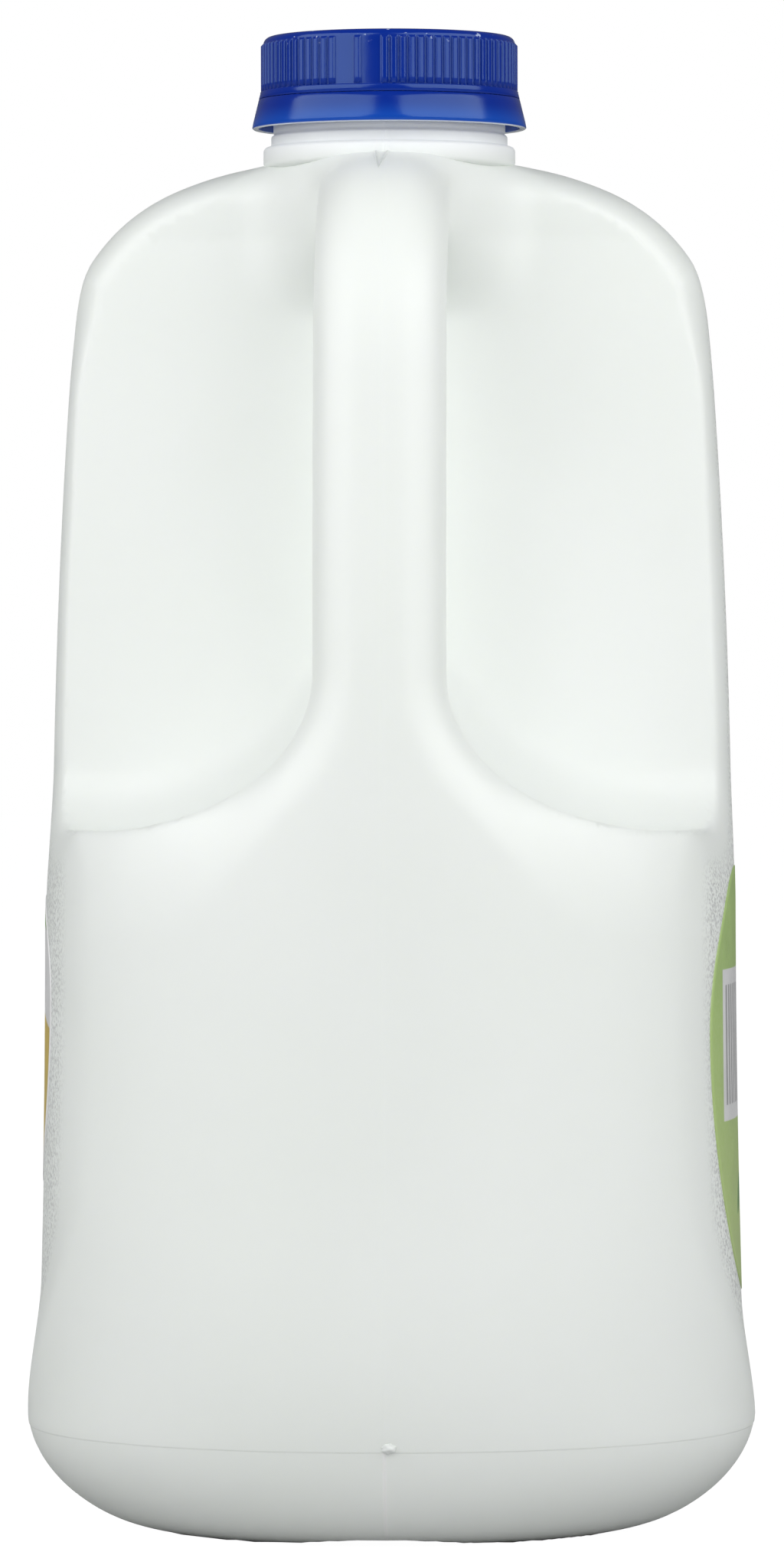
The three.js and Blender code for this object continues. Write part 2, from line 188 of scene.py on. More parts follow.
# Camera: a long lens in front of the handle
IMAGE_SIZE = (1024, 2049)
CAMERA_DISTANCE = 1304
CAMERA_Z = 137.6
CAMERA_AZIMUTH = math.radians(2.06)
CAMERA_ROLL = math.radians(-0.113)
AIM = (0.22, 0, 118.1)
FOCAL_PIXELS = 10600
SENSOR = 36

# Studio: two large softboxes in front, well to the sides and above, and weak light from all round
FLOOR_REACH = 6000
FLOOR_GLOW = 0.985
FLOOR_SEEN = 0.12
FLOOR_BOUNCE = 0.48
WORLD_COLOUR = (0.93, 0.97, 1.0, 1)
WORLD_LIGHT = 0.14
SOFTBOX_AZIMUTH = 54
SOFTBOX_DISTANCE = 950
SOFTBOX_Z = 620
SOFTBOX_SIZE = (1500, 1000)
SOFTBOX_WATTS = (10.05, 10.25)
SOFTBOX_AIM_Z = 170

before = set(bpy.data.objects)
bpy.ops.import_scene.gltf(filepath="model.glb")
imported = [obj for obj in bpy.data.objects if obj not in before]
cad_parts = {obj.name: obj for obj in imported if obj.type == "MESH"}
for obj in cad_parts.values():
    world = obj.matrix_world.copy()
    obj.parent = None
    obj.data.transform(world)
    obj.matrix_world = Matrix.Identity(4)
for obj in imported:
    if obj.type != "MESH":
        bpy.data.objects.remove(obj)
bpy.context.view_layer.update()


def mix(start, end, share):
    return start + (end - start) * share


def smoothstep(value, low, high):
    share = np.clip((value - low) / (high - low), 0, 1)
    return share * share * (3 - 2 * share)


def round_union(a, b, radius):
    """Fillet between two shapes that are joined."""
    near_a = np.maximum(radius - a, 0)
    near_b = np.maximum(radius - b, 0)
    return np.maximum(radius, np.minimum(a, b)) - np.hypot(near_a, near_b)


def round_overlap(a, b, radius):
    """Rounded edge where two shapes overlap."""
    return -round_union(-a, -b, radius)


def oval_overlap(a, b, depth, height):
    """Edge rounded as an oval: it eases in over a height on b's side and a depth on a's side."""
    return depth * round_overlap(a / depth, b / height, 1)


def quarter_curve(share, power):
    """A quarter of a superellipse, 1 at share 0 and 0 at share 1."""
    held = np.clip(share, 0, 1)
    return (1 - held**power) ** (1 / power)


def shoulder_top(x):
    """Top of the shoulder: it swells a little along the parting line."""
    return SHOULDER_TOP_Z + CREST_RISE * (1 - smoothstep(np.abs(x), 0, CREST_HALF))


def wall_half(z, foot_top, foot_power, taper_radius):
    """Half width of a wall that curves in to the foot and leans in towards the shoulder."""
    foot = quarter_curve((foot_top - z) / foot_top, foot_power)
    climb = np.maximum(z - TAPER_START_Z, 0)
    return mix(FOOT_HALF, BODY_HALF, foot) - climb**2 / (2 * taper_radius)


def side_wall(z):
    return wall_half(z, SIDE_FOOT_Z, SIDE_FOOT_POWER, SIDE_TAPER_RADIUS)


def front_share(x, z):
    """Depth of the body for its width: less towards the shoulder and near the base, most at its corners."""
    foot_top = FRONT_FOOT_Z + FRONT_FOOT_CORNER_RISE * (x / BODY_HALF) ** 2
    return wall_half(z, foot_top, FRONT_FOOT_POWER, FRONT_TAPER_RADIUS) / side_wall(z)


def body_half(x, z):
    """Half width of the envelope at a height."""
    rise = (z - SHOULDER_START_Z) / (shoulder_top(x) - SHOULDER_START_Z)
    return mix(SHOULDER_INNER, side_wall(z), quarter_curve(rise, SHOULDER_POWER))


def plan_reach(x, y, z):
    """Distance from the axis measured on the rounded square."""
    rounded = smoothstep(z, PLAN_ROUNDS_FROM_Z, SHOULDER_TOP_Z)
    power = mix(PLAN_POWER, ROUND_PLAN_POWER, rounded)
    return (np.abs(x) ** power + np.abs(y / front_share(x, z)) ** power) ** (1 / power)


def underside_height(x, y):
    """Height of the underside: push-up in the middle, hollow along the parting line."""
    push_up = 1 - smoothstep(plan_reach(x, y, 0), PUSH_UP_HALF, PUSH_UP_EDGE)
    hollow = 1 - smoothstep(np.abs(x), SEAM_HOLLOW_FLAT, SEAM_HOLLOW_HALF)
    return np.maximum(PUSH_UP_RISE * push_up, SEAM_HOLLOW_RISE * hollow)


def envelope(x, y, z):
    slope = (body_half(x, z + SLOPE_STEP) - body_half(x, z - SLOPE_STEP)) / (2 * SLOPE_STEP)
    wall = (plan_reach(x, y, z) - body_half(x, z)) / np.hypot(1, slope)
    ends = np.maximum(underside_height(x, y) - z, z - shoulder_top(x))
    return np.maximum(wall, ends)


def panel_half(y, z):
    """Half width of the bowed side panel at a depth and a height."""
    up = np.maximum(z - PANEL_MID_Z, 0)
    down = np.maximum(PANEL_MID_Z - z, 0)
    end_rise = np.hypot(PANEL_END_RISE * y, PANEL_END_SOFT) - PANEL_END_SOFT
    end = np.maximum(PANEL_END_Z + end_rise - z, 0)
    lean = down**2 / (2 * PANEL_LEAN_DOWN_RADIUS) - up**2 / (2 * PANEL_LEAN_UP_RADIUS)
    return PANEL_HALF + lean + end**2 / (2 * PANEL_END_RADIUS) - y**2 / (2 * PANEL_BOW_RADIUS)


def scoop_wall(x, z):
    """Depth of the wall that runs beside and behind the handle: it leans back, with a brow at its top."""
    below = np.maximum(SCOOP_TOP_Z - z, 0)
    brow = smoothstep(z, *BROW_Z) * (1 - smoothstep(np.abs(x), *BROW_X))
    depth = SCOOP_DEPTH + SCOOP_LEAN * below + below**2 / (2 * SCOOP_RADIUS) + BROW_REACH * brow
    return -depth * (1 - SCOOP_BOW * np.abs(x / BODY_HALF) ** SCOOP_BOW_POWER)


def handle_bar(x, y, z):
    """The handle as an upright bar, cut free behind where the fingers go."""
    handle_back = HANDLE_THICKNESS - body_half(0, z) * front_share(0, z)
    along = np.maximum(GAP_Z[0] - z, z - GAP_Z[1])
    gap = round_overlap(handle_back - y, along, GAP_CORNER)
    return round_overlap(np.abs(x) - HANDLE_HALF, -gap, HANDLE_BACK_EDGE_RADIUS)


def handle_recess(x, y, z, depth):
    """The scoops and the finger gap; the ledge below them falls a little towards the back."""
    ledge = z - LEDGE_Z + LEDGE_FALL * np.maximum(depth, 0)
    wide, tall = HANDLE_FLARE
    flare = round_union(handle_bar(x, y, z) / wide, ledge / tall, 1)
    handle_and_ledge = flare * mix(tall, wide, smoothstep(ledge, 0, tall))
    fillet = mix(LEDGE_FILLET, HANDLE_FILLET, smoothstep(z, *LEDGE_FADES_Z))
    return round_overlap(y - scoop_wall(x, z), -handle_and_ledge, fillet)


def seam_share(x):
    """How close a point is to the parting line, 1 on it."""
    return np.exp(-(((x - PARTING_X) / PARTING_WIDTH) ** 2))


def above_insert(z):
    return smoothstep(z, INSERT_Z - INSERT_STEP_WIDTH / 2, INSERT_Z + INSERT_STEP_WIDTH / 2)


def mould_marks(x, z):
    """How far the mould's lines stand out of the surface."""
    ridge = mix(PARTING_RIDGE, PARTING_FAINT, above_insert(z)) * seam_share(x)
    step = INSERT_STEP * (1 - above_insert(z))
    return (ridge - step) * smoothstep(z, *FOOT_FADE_Z)


def jug_body(x, y, z):
    """About the distance to the jug's surface below the neck, negative inside."""
    sides = np.abs(x) - panel_half(y, z)
    outside = round_overlap(envelope(x, y, z), sides, PANEL_EDGE_RADIUS)
    on_ledge = smoothstep(np.abs(x), *LEDGE_SPREAD)
    wide_edge = mix(LEDGE_EDGE_DEPTH, SHOULDER_EDGE_DEPTH, smoothstep(z, *SHOULDER_EDGE_Z))
    depth = mix(HANDLE_EDGE_RADIUS, wide_edge, on_ledge)
    height = mix(HANDLE_EDGE_RADIUS, LEDGE_EDGE_HEIGHT, on_ledge)
    plain = oval_overlap(outside, -handle_recess(x, y, z, -outside), depth, height)
    return np.maximum(plain - mould_marks(x, z), -z)


def slope_of(shape, points):
    steps = np.eye(3) * SLOPE_STEP
    parts = [shape(*(points + s).T) - shape(*(points - s).T) for s in steps]
    return np.stack(parts, axis=1) / (2 * SLOPE_STEP)


def draw_on(shape, points):
    """Move the points of a net on to the surface."""
    for _ in range(DRAW_ROUNDS):
        slope = slope_of(shape, points)
        miss = shape(*points.T)
        share = miss / np.maximum((slope**2).sum(axis=1), SLOPE_STEP)
        points = points - np.clip(share, -1, 1)[:, None] * slope
    return points


def cell_middles(values, lines, where, corners):
    """Middle of the places where each cell's edges cross the surface."""
    total = np.zeros((len(where), 3))
    count = np.zeros(len(where))
    for axis in range(3):
        step = np.eye(3, dtype=int)[axis]
        for corner in [c for c in corners if not c[axis]]:
            start = where + np.array(corner)
            end = start + step
            a = values[tuple(start.T)]
            b = values[tuple(end.T)]
            crosses = (a < 0) != (b < 0)
            share = np.where(crosses, a / np.where(crosses, a - b, 1), 0)
            low = np.stack([lines[k][start[:, k]] for k in range(3)], axis=1)
            high = np.stack([lines[k][end[:, k]] for k in range(3)], axis=1)
            total += (low + (high - low) * share[:, None]) * crosses[:, None]
            count += crosses
    return total / count[:, None]


def net_over(shape, lines):
    """Closed net of quads over a shape: one point in each cell that the surface passes through."""
    values = shape(*np.meshgrid(*lines, indexing="ij"))
    inside = values < 0
    cells = tuple(n - 1 for n in inside.shape)
    corners = [(i, j, k) for i in (0, 1) for j in (0, 1) for k in (0, 1)]
    windows = [tuple(slice(c, c + n) for c, n in zip(corner, cells)) for corner in corners]
    full = sum(inside[window].astype(int) for window in windows)
    where = np.argwhere((full > 0) & (full < len(corners)))
    number = np.full(cells, -1)
    number[tuple(where.T)] = np.arange(len(where))
    points = draw_on(shape, cell_middles(values, lines, where, corners))
    quads = []
    for axis in range(3):
        across = np.eye(3, dtype=int)[(axis + 1) % 3]
        third = np.eye(3, dtype=int)[(axis + 2) % 3]
        before = np.take(inside, range(0, inside.shape[axis] - 1), axis)
        after = np.take(inside, range(1, inside.shape[axis]), axis)
        first = np.argwhere(before != after)
        ring = [first - across - third, first - third, first, first - across]
        quad = np.stack([number[tuple(cell.T)] for cell in ring], axis=1)
        outward = inside[tuple(first.T)]
        quads.append(np.where(outward[:, None], quad, quad[:, ::-1]))
    return points, np.concatenate(quads)


def spread_lines(low, high, fine_at=None):
    """Grid lines past both ends, with closer ones about a mark that needs them."""
    cells = math.ceil((high - low) / NET_STEP) + 4
    start = (low + high - cells * NET_STEP) / 2
    even = start + NET_STEP * np.arange(cells + 1)
    if fine_at is None:
        return even
    kept = even[np.abs(even - fine_at) > FINE_STEP * (FINE_COUNT + 1)]
    close = fine_at + FINE_STEP * (np.arange(2 * FINE_COUNT) - FINE_COUNT + 0.5)
    return np.sort(np.concatenate([kept, close]))


def side_reach(y, z, stand_off):
    """Sideways reach of the jug's surface at a depth and a height."""
    x = panel_half(y, z)
    for _ in range(DRAW_ROUNDS):
        x = x + stand_off - jug_body(x, y, z)
    return x


def front_reach(x, z, side=-1):
    """Depth of the jug's surface at the front, or at the back for side 1."""
    y = side * body_half(x, z)
    for _ in range(2 * DRAW_ROUNDS):
        y = y - side * jug_body(x, y, z)
    return float(y)


def add_mesh(name, points, faces, normals=None):
    mesh = bpy.data.meshes.new(name)
    mesh.from_pydata((np.asarray(points) * MM).tolist(), [], [list(map(int, face)) for face in faces])
    mesh.validate()
    mesh.shade_smooth()
    if normals is not None:
        mesh.normals_split_custom_set_from_vertices(normals.tolist())
    piece = bpy.data.objects.new(name, mesh)
    bpy.context.scene.collection.objects.link(piece)
    return piece


def add_marks(piece, **marks):
    """Store numbers on a piece's points for its material to read."""
    for name, values in marks.items():
        layer = piece.data.attributes.new(name, "FLOAT", "POINT")
        layer.data.foreach_set("value", np.asarray(values, dtype=np.float32))


def ring_quad(row, step, steps, first=0):
    """Corners of one face between two rings of points that follow each other."""
    start = first + row * steps
    after = (step + 1) % steps
    return [start + step, start + steps + step, start + steps + after, start + after]


def arc(centre_radius, centre_z, radius, start, end, steps=6):
    angles = np.linspace(start, end, steps + 1)
    return [(centre_radius + radius * math.cos(a), centre_z + radius * math.sin(a)) for a in angles]


def turned(name, outline, steps, relief=None):
    """Piece turned about Z from an outline of (radius, height); points on the axis close it."""
    angles = FRONT_ANGLE + 2 * math.pi * np.arange(steps) / steps
    points = []
    rows = []
    for radius, z in outline:
        if radius == 0:
            rows.append([len(points)] * steps)
            points.append((0, 0, z))
            continue
        reach = radius + (relief(angles, radius, z) if relief else 0 * angles)
        rows.append(list(range(len(points), len(points) + steps)))
        points.extend(zip(reach * np.cos(angles), reach * np.sin(angles), [z] * steps))
    open_ended = outline[0][0] == 0
    pairs = list(zip(rows, rows[1:])) if open_ended else list(zip(rows, rows[1:] + rows[:1]))
    faces = []
    for lower, upper in pairs:
        for k in range(steps):
            after = (k + 1) % steps
            corners = [lower[k], lower[after], upper[after], upper[k]]
            faces.append(list(dict.fromkeys(corners)))
    return add_mesh(name, points, faces)


def build_body():
    across = spread_lines(-BODY_HALF, BODY_HALF, PARTING_X)
    deep = spread_lines(-BODY_HALF, BODY_HALF)
    up = spread_lines(0, SHOULDER_TOP_Z + CREST_RISE, INSERT_Z)
    points, quads = net_over(jug_body, [across, deep, up])
    points[:, 2] = np.maximum(points[:, 2], 0)
    normals = slope_of(jug_body, points)
    normals /= np.linalg.norm(normals, axis=1)[:, None]
    body = add_mesh("jug_body", points, quads, normals)
    x, y, z = points.T
    sides = np.abs(x) - panel_half(y, z)
    past_edge = smoothstep(sides - envelope(x, y, z), 0, PANEL_GRAIN_AND_SHADE_EDGE)
    on_panel = past_edge * (1 - smoothstep(-sides, *PANEL_GRAIN_AND_SHADE_FADES))
    # The panels' mask carries the mould grain and its dark specks of painted shade; the left panel's is
    # weaker
    grain = np.where(x < 0, LEFT_GRAIN_AND_SHADE, 1)
    add_marks(body, panel=on_panel * grain, seam=seam_share(x) * (1 - above_insert(z)))
    return body


def neck_seam(angles, radius, z):
    """The parting line's ridges down the front and the back of the neck."""
    off_front = np.minimum(angles - FRONT_ANGLE, 2 * math.pi - angles + FRONT_ANGLE)
    off_seam = np.minimum(off_front, np.abs(math.pi - off_front)) * radius
    return NECK_SEAM * np.exp(-((off_seam / NECK_SEAM_HALF) ** 2)) * (z > RING_Z[0])


def build_neck():
    return turned("jug_neck", [
        (0, NECK_ROOT_Z),
        (NECK_ROOT_RADIUS, NECK_ROOT_Z),
        (NECK_RADIUS, RING_Z[0] - RING_FILLET),
        *arc(RING_RADIUS - RING_FILLET, RING_Z[0] + RING_FILLET, RING_FILLET, -QUARTER, 0),
        *arc(RING_RADIUS - RING_FILLET, RING_Z[1] - RING_FILLET, RING_FILLET, 0, QUARTER),
        *arc(COLLAR_RADIUS + COLLAR_FILLET / 2, RING_Z[1] + COLLAR_FILLET / 2, COLLAR_FILLET / 2,
             -QUARTER, -2 * QUARTER),
        *arc(COLLAR_RADIUS - COLLAR_FILLET, COLLAR_TOP_Z - COLLAR_FILLET, COLLAR_FILLET, 0, QUARTER),
        (NECK_RADIUS, COLLAR_TOP_Z + COLLAR_FILLET),
        (NECK_RADIUS, NECK_TOP_Z),
        (0, NECK_TOP_Z),
    ], NECK_STEPS, neck_seam)


def build_flash(name, start_x):
    """A tapering ridge of flash that runs down from the carrying ring to the parting line."""
    points = []
    top = SHOULDER_TOP_Z + CREST_RISE
    for row in range(FLASH_ROWS + 1):
        share = row / FLASH_ROWS
        taper = (1 - share) ** 0.7
        x = mix(start_x, FLASH_MEETS, share)
        z = top - FLASH_LENGTH * share
        y = front_reach(x, z)
        for side in range(FLASH_SIDES):
            angle = 2 * math.pi * side / FLASH_SIDES
            points.append((
                x + FLASH_HALF * taper * math.cos(angle),
                y - FLASH_HEIGHT * taper * math.sin(angle),
                z + FLASH_HEIGHT * taper * math.sin(angle),
            ))
    faces = [list(range(FLASH_SIDES))]
    for row in range(FLASH_ROWS):
        for side in range(FLASH_SIDES):
            faces.append(ring_quad(row, side, FLASH_SIDES))
    return add_mesh(name, points, faces)


def build_lump(name, side):
    """A small uneven lump of flash on the insert line, at the front or at the back."""
    form = bmesh.new()
    bmesh.ops.create_icosphere(form, subdivisions=4, radius=1)
    x = PARTING_X + LUMP_OFFSET[0]
    z = INSERT_Z + LUMP_OFFSET[1]
    middle = Vector((x, front_reach(x, z, side), z))
    for point in form.verts:
        p = point.co.copy()
        uneven = 1 + 0.16 * math.sin(4 * p.x + 1) * math.cos(5 * p.z) + 0.1 * math.sin(7 * p.x * p.z + 2)
        slump = Vector((0.25 * p.z, 0, -0.2 * p.x))
        swollen = (p + slump) * uneven
        point.co = (middle + Vector([half * part for half, part in zip(LUMP_HALF, swollen)])) * MM
    mesh = bpy.data.meshes.new(name)
    form.to_mesh(mesh)
    form.free()
    mesh.shade_smooth()
    piece = bpy.data.objects.new(name, mesh)
    bpy.context.scene.collection.objects.link(piece)
    return piece


def flare_radius(z):
    """Radius of the flare that the cap's skirt and the tamper band share."""
    share = np.clip((FLARE_TOP_Z - z) / (FLARE_TOP_Z - FLARE_BOTTOM_Z), 0, 1)
    return float(mix(FLARE_TOP_RADIUS, FLARE_BOTTOM_RADIUS, share))


def rib_height(angles, radius, z):
    """Flat-faced ribs with slanted tops; the four of the plain windows are left out."""
    place = (angles - FRONT_ANGLE) / (2 * math.pi) * RIB_COUNT
    from_window = np.abs(np.round(place) % RIB_COUNT - (RIB_COUNT - RIB_WINDOW_AT))
    stands = (from_window == 0) | (from_window > RIB_WINDOW_SPREAD)
    crest = RIB_REACH * (1 - smoothstep(np.abs(place - np.round(place)), RIB_FLAT, RIB_FOOT))
    slant = max(RIB_Z[1] - z, 0)
    on_ribs = RIB_Z[0] < z and radius > CAP_DISH_RADIUS
    return np.minimum(crest, slant) * stands * on_ribs


def build_cap():
    rib_rows = [
        *np.linspace(RIB_Z[0] + CAP_EDGE, RIB_Z[1] - 2 * RIB_REACH, 8),
        *np.linspace(RIB_Z[1] - 1.5 * RIB_REACH, RIB_Z[1], 9),
    ]
    fillet_z = CAP_TOP_Z - CAP_TOP_FILLET
    fillet = arc(CAP_CORE_RADIUS - CAP_TOP_FILLET, fillet_z, CAP_TOP_FILLET, 0, QUARTER, 12)
    fillet_radii, fillet_heights = zip(*fillet)
    wall = [(CAP_CORE_RADIUS, z) for z in rib_rows if z < fillet_z]
    rounded = [(float(np.interp(z, fillet_heights, fillet_radii)), z) for z in rib_rows if z >= fillet_z]
    rim = [(radius, z) for radius, z in fillet if z > RIB_Z[1]]
    outline = [
        (CAP_BORE_RADIUS, CAP_BOTTOM_Z),
        (flare_radius(CAP_BOTTOM_Z) - SCORE_EDGE, CAP_BOTTOM_Z),
        (flare_radius(CAP_BOTTOM_Z), CAP_BOTTOM_Z + SCORE_EDGE),
        (FLARE_TOP_RADIUS, FLARE_TOP_Z),
        (FLARE_TOP_RADIUS, RIB_Z[0] - CAP_EDGE),
        (FLARE_TOP_RADIUS - CAP_EDGE, RIB_Z[0]),
        (CAP_CORE_RADIUS, RIB_Z[0]),
        *wall,
        *rounded,
        *rim,
        (CAP_DISH_RADIUS + 2 * CAP_DISH_DEPTH, CAP_TOP_Z),
        (CAP_DISH_RADIUS + CAP_DISH_DEPTH, CAP_TOP_Z - CAP_DISH_DEPTH / 4),
        (CAP_DISH_RADIUS, CAP_TOP_Z - CAP_DISH_DEPTH),
        (CAP_DISH_RADIUS / 2, CAP_TOP_Z - CAP_DISH_DEPTH),
        (CAP_GATE_RADIUS, CAP_TOP_Z - CAP_DISH_DEPTH),
        (CAP_GATE_RADIUS / 2, CAP_TOP_Z - 2 * CAP_DISH_DEPTH),
        (0, CAP_TOP_Z - 2 * CAP_DISH_DEPTH),
        (0, CAP_TOP_Z - CAP_PLATE),
        (CAP_BORE_RADIUS, CAP_TOP_Z - CAP_PLATE),
    ]
    return turned("cap_shell", outline, RIB_COUNT * STEPS_PER_RIB, rib_height)


def build_band():
    heights = np.linspace(BAND_BOTTOM_Z + BAND_EDGE, BAND_TOP_Z - SCORE_EDGE, 6)
    outside = [(flare_radius(z), z) for z in heights]
    top = flare_radius(BAND_TOP_Z)
    bottom = flare_radius(BAND_BOTTOM_Z)
    outline = [
        (bottom - BAND_WALL, BAND_BOTTOM_Z + BAND_EDGE),
        (bottom - BAND_WALL + BAND_EDGE, BAND_BOTTOM_Z),
        (bottom - BAND_EDGE, BAND_BOTTOM_Z),
        *outside,
        (top - SCORE_EDGE, BAND_TOP_Z),
        (top - BAND_WALL, BAND_TOP_Z),
    ]
    return turned("band_ring", outline, BAND_STEPS)


def build_label(name, label):
    """Egg-shaped film lying on a side panel, with its rim turned in to the panel."""
    side = label["side"]
    shares = [*np.linspace(0, 1, LABEL_RINGS + 1)[1:], 1.0]
    points = [(side * side_reach(0.0, label["mid_z"], LABEL_STAND_OFF), 0, label["mid_z"])]
    faces = []
    angles = 2 * math.pi * np.arange(LABEL_SPOKES) / LABEL_SPOKES
    reach = np.where(np.sin(angles) > 0, label["rise"], label["drop"])
    for row, share in enumerate(shares):
        off = LABEL_STAND_OFF if row < LABEL_RINGS else -LABEL_SINK
        y = share * label["half"] * np.cos(angles)
        z = label["mid_z"] + share * reach * np.sin(angles)
        points.extend(zip(side * side_reach(y, z, off), y, z))
    for spoke in range(LABEL_SPOKES):
        faces.append([0, 1 + spoke, 1 + (spoke + 1) % LABEL_SPOKES])
        for row in range(LABEL_RINGS):
            faces.append(ring_quad(row, spoke, LABEL_SPOKES, 1))
    if side < 0:
        faces = [face[::-1] for face in faces]
    return add_mesh(name, points, faces)


class Paint:
    """Nodes of one material. Every method returns the socket that carries its result."""

    def __init__(self, name, roughness):
        self.material = bpy.data.materials.new(name)
        self.material.use_nodes = True
        self.tree = self.material.node_tree
        self.shader = self.tree.nodes["Principled BSDF"]
        self.shader.inputs["Roughness"].default_value = roughness

    def put(self, value, socket):
        if isinstance(value, bpy.types.NodeSocket):
            self.tree.links.new(value, socket)
        else:
            socket.default_value = value

    def finish(self, socket_name, value):
        self.put(value, self.shader.inputs[socket_name])

    def number(self, operation, *values):
        node = self.tree.nodes.new("ShaderNodeMath")
        node.operation = operation
        for value, socket in zip(values, node.inputs):
            self.put(value, socket)
        return node.outputs[0]

    def ramp(self, value, low, high, start=0.0, end=1.0):
        """Smooth change from start to end while the value goes from low to high."""
        node = self.tree.nodes.new("ShaderNodeMapRange")
        node.interpolation_type = "SMOOTHSTEP"
        inputs = {"Value": value, "From Min": low, "From Max": high, "To Min": start, "To Max": end}
        for name, given in inputs.items():
            self.put(given, node.inputs[name])
        return node.outputs["Result"]

    def blend(self, share, first, second):
        node = self.tree.nodes.new("ShaderNodeMix")
        node.data_type = "RGBA"
        self.put(share, node.inputs["Factor"])
        colours = [socket for socket in node.inputs if socket.type == "RGBA"]
        self.put(first, colours[0])
        self.put(second, colours[1])
        return next(socket for socket in node.outputs if socket.type == "RGBA")

    def coordinates(self):
        return self.tree.nodes.new("ShaderNodeTexCoord").outputs["Object"]

    def noise(self, size_mm, detail=2.0, stretch=(1, 1, 1)):
        """Noise whose patches are about so many millimetres across."""
        mapping = self.tree.nodes.new("ShaderNodeMapping")
        mapping.inputs["Scale"].default_value = stretch
        self.put(self.coordinates(), mapping.inputs["Vector"])
        node = self.tree.nodes.new("ShaderNodeTexNoise")
        node.inputs["Scale"].default_value = 1 / (size_mm * MM)
        node.inputs["Detail"].default_value = detail
        self.put(mapping.outputs["Vector"], node.inputs["Vector"])
        return node.outputs["Fac"]

    def mark(self, name):
        node = self.tree.nodes.new("ShaderNodeAttribute")
        node.attribute_name = name
        return node.outputs["Fac"]

    def place(self):
        """Depth and height on the part, in millimetres."""
        node = self.tree.nodes.new("ShaderNodeSeparateXYZ")
        self.put(self.coordinates(), node.inputs[0])
        return [self.number("DIVIDE", node.outputs[axis], MM) for axis in ("Y", "Z")]

    def bump(self, height, depth_mm, under=None):
        node = self.tree.nodes.new("ShaderNodeBump")
        node.inputs["Distance"].default_value = depth_mm * MM
        self.put(height, node.inputs["Height"])
        if under is not None:
            self.put(under, node.inputs["Normal"])
        return node.outputs["Normal"]


def grey(level):
    return (level, level, level, 1)


def jug_skin():
    """Milky polyethylene: satin skin, cloudy colour, a mould grain on the side panels whose dark specks are
    also painted shade, and a neck painted lighter to offset the shade under the cap.
    """
    paint = Paint("jug_skin", 0.42)
    cloud = paint.ramp(paint.noise(55, 3), 0.3, 0.7)
    colour = paint.blend(cloud, (0.893, 0.93, 0.888, 1), (0.908, 0.945, 0.908, 1))
    # Painted light: the neck above the carrying ring is drawn in a lighter white, to offset the shade under
    # the cap
    neck_painted_light = paint.ramp(paint.place()[1], RING_Z[0], RING_Z[1])
    colour = paint.blend(neck_painted_light, colour, (0.955, 0.985, 0.985, 1))
    # Dark specks on the side panels: partly the mould grain's own colour, partly painted shade darkening
    # these sideways faces
    grain_and_shade_speck = paint.ramp(paint.noise(0.55, 1), 0.42, 0.66)
    panel = paint.mark("panel")
    colour = paint.blend(paint.number("MULTIPLY", panel, grain_and_shade_speck), colour, (0.56, 0.57, 0.56, 1))
    colour = paint.blend(paint.mark("seam"), colour, (0.93, 0.94, 0.92, 1))
    paint.finish("Base Color", colour)
    satin = paint.ramp(paint.noise(18, 3), 0.25, 0.75, 0.36, 0.48)
    paint.finish("Roughness", paint.number("ADD", satin, paint.number("MULTIPLY", panel, 0.12)))
    skin = paint.bump(paint.noise(14, 2), 0.10)
    peel = paint.bump(paint.noise(1.6, 2), 0.012, skin)
    grain = paint.number("MULTIPLY", paint.noise(0.6, 2), panel)
    paint.finish("Normal", paint.bump(grain, 0.07, peel))
    paint.finish("Subsurface Weight", 0.3)
    paint.finish("Subsurface Radius", (1.0, 1.0, 0.9))
    paint.finish("Subsurface Scale", 6 * MM)
    return paint.material


def cap_skin():
    """Glossy blue polypropylene: faint flow marks, rubbed rib tops, paler blue towards the band's lower
    edge and a painted highlight along its bottom lip.
    """
    paint = Paint("cap_skin", 0.24)
    flow = paint.noise(9, 3, (1, 1, 0.3))
    colour = paint.blend(flow, (0.0006, 0.019, 0.255, 1), (0.001, 0.024, 0.305, 1))
    height = paint.place()[1]
    # Paler blue towards the band's lower edge
    paler_downwards = paint.ramp(height, BAND_PALER_FROM_Z, BAND_BOTTOM_Z)
    colour = paint.blend(paler_downwards, colour, (0.006, 0.07, 0.46, 1))
    # Painted highlight: a pale line along the band's bottom edge stands for the bright rim that light gives
    # it there
    painted_lip_highlight = paint.ramp(height, BAND_BOTTOM_Z + BAND_EDGE, BAND_BOTTOM_Z)
    colour = paint.blend(painted_lip_highlight, colour, (0.86, 0.89, 0.95, 1))
    near_top = paint.ramp(height, RIB_Z[1] - 1.4, RIB_Z[1])
    rubbed = paint.ramp(paint.noise(1.1, 3), 0.66, 0.74)
    colour = paint.blend(paint.number("MULTIPLY", near_top, rubbed), colour, (0.45, 0.53, 0.78, 1))
    paint.finish("Base Color", colour)
    paint.finish("Roughness", paint.ramp(paint.noise(4, 3), 0.3, 0.7, 0.13, 0.2))
    paint.finish("Specular Tint", (0.62, 0.93, 1.0, 1))
    wavy = paint.bump(paint.noise(7, 2), 0.03)
    paint.finish("Normal", paint.bump(paint.noise(0.5, 2), 0.006, wavy))
    return paint.material


def disc(paint, y, z, centre, radius, edge=0.12):
    """1 inside a circle on a label, 0 outside."""
    off_y = paint.number("SUBTRACT", y, centre[0])
    off_z = paint.number("SUBTRACT", z, centre[1])
    squares = [paint.number("MULTIPLY", off, off) for off in (off_y, off_z)]
    distance = paint.number("SQRT", paint.number("ADD", *squares))
    return paint.ramp(distance, radius + edge, radius - edge), distance, off_y, off_z


def stripe(paint, value, low, high, edge=0.12):
    """1 where a value lies between two limits, 0 elsewhere."""
    above = paint.ramp(value, low - edge, low + edge)
    return paint.number("MULTIPLY", above, paint.ramp(value, high + edge, high - edge))


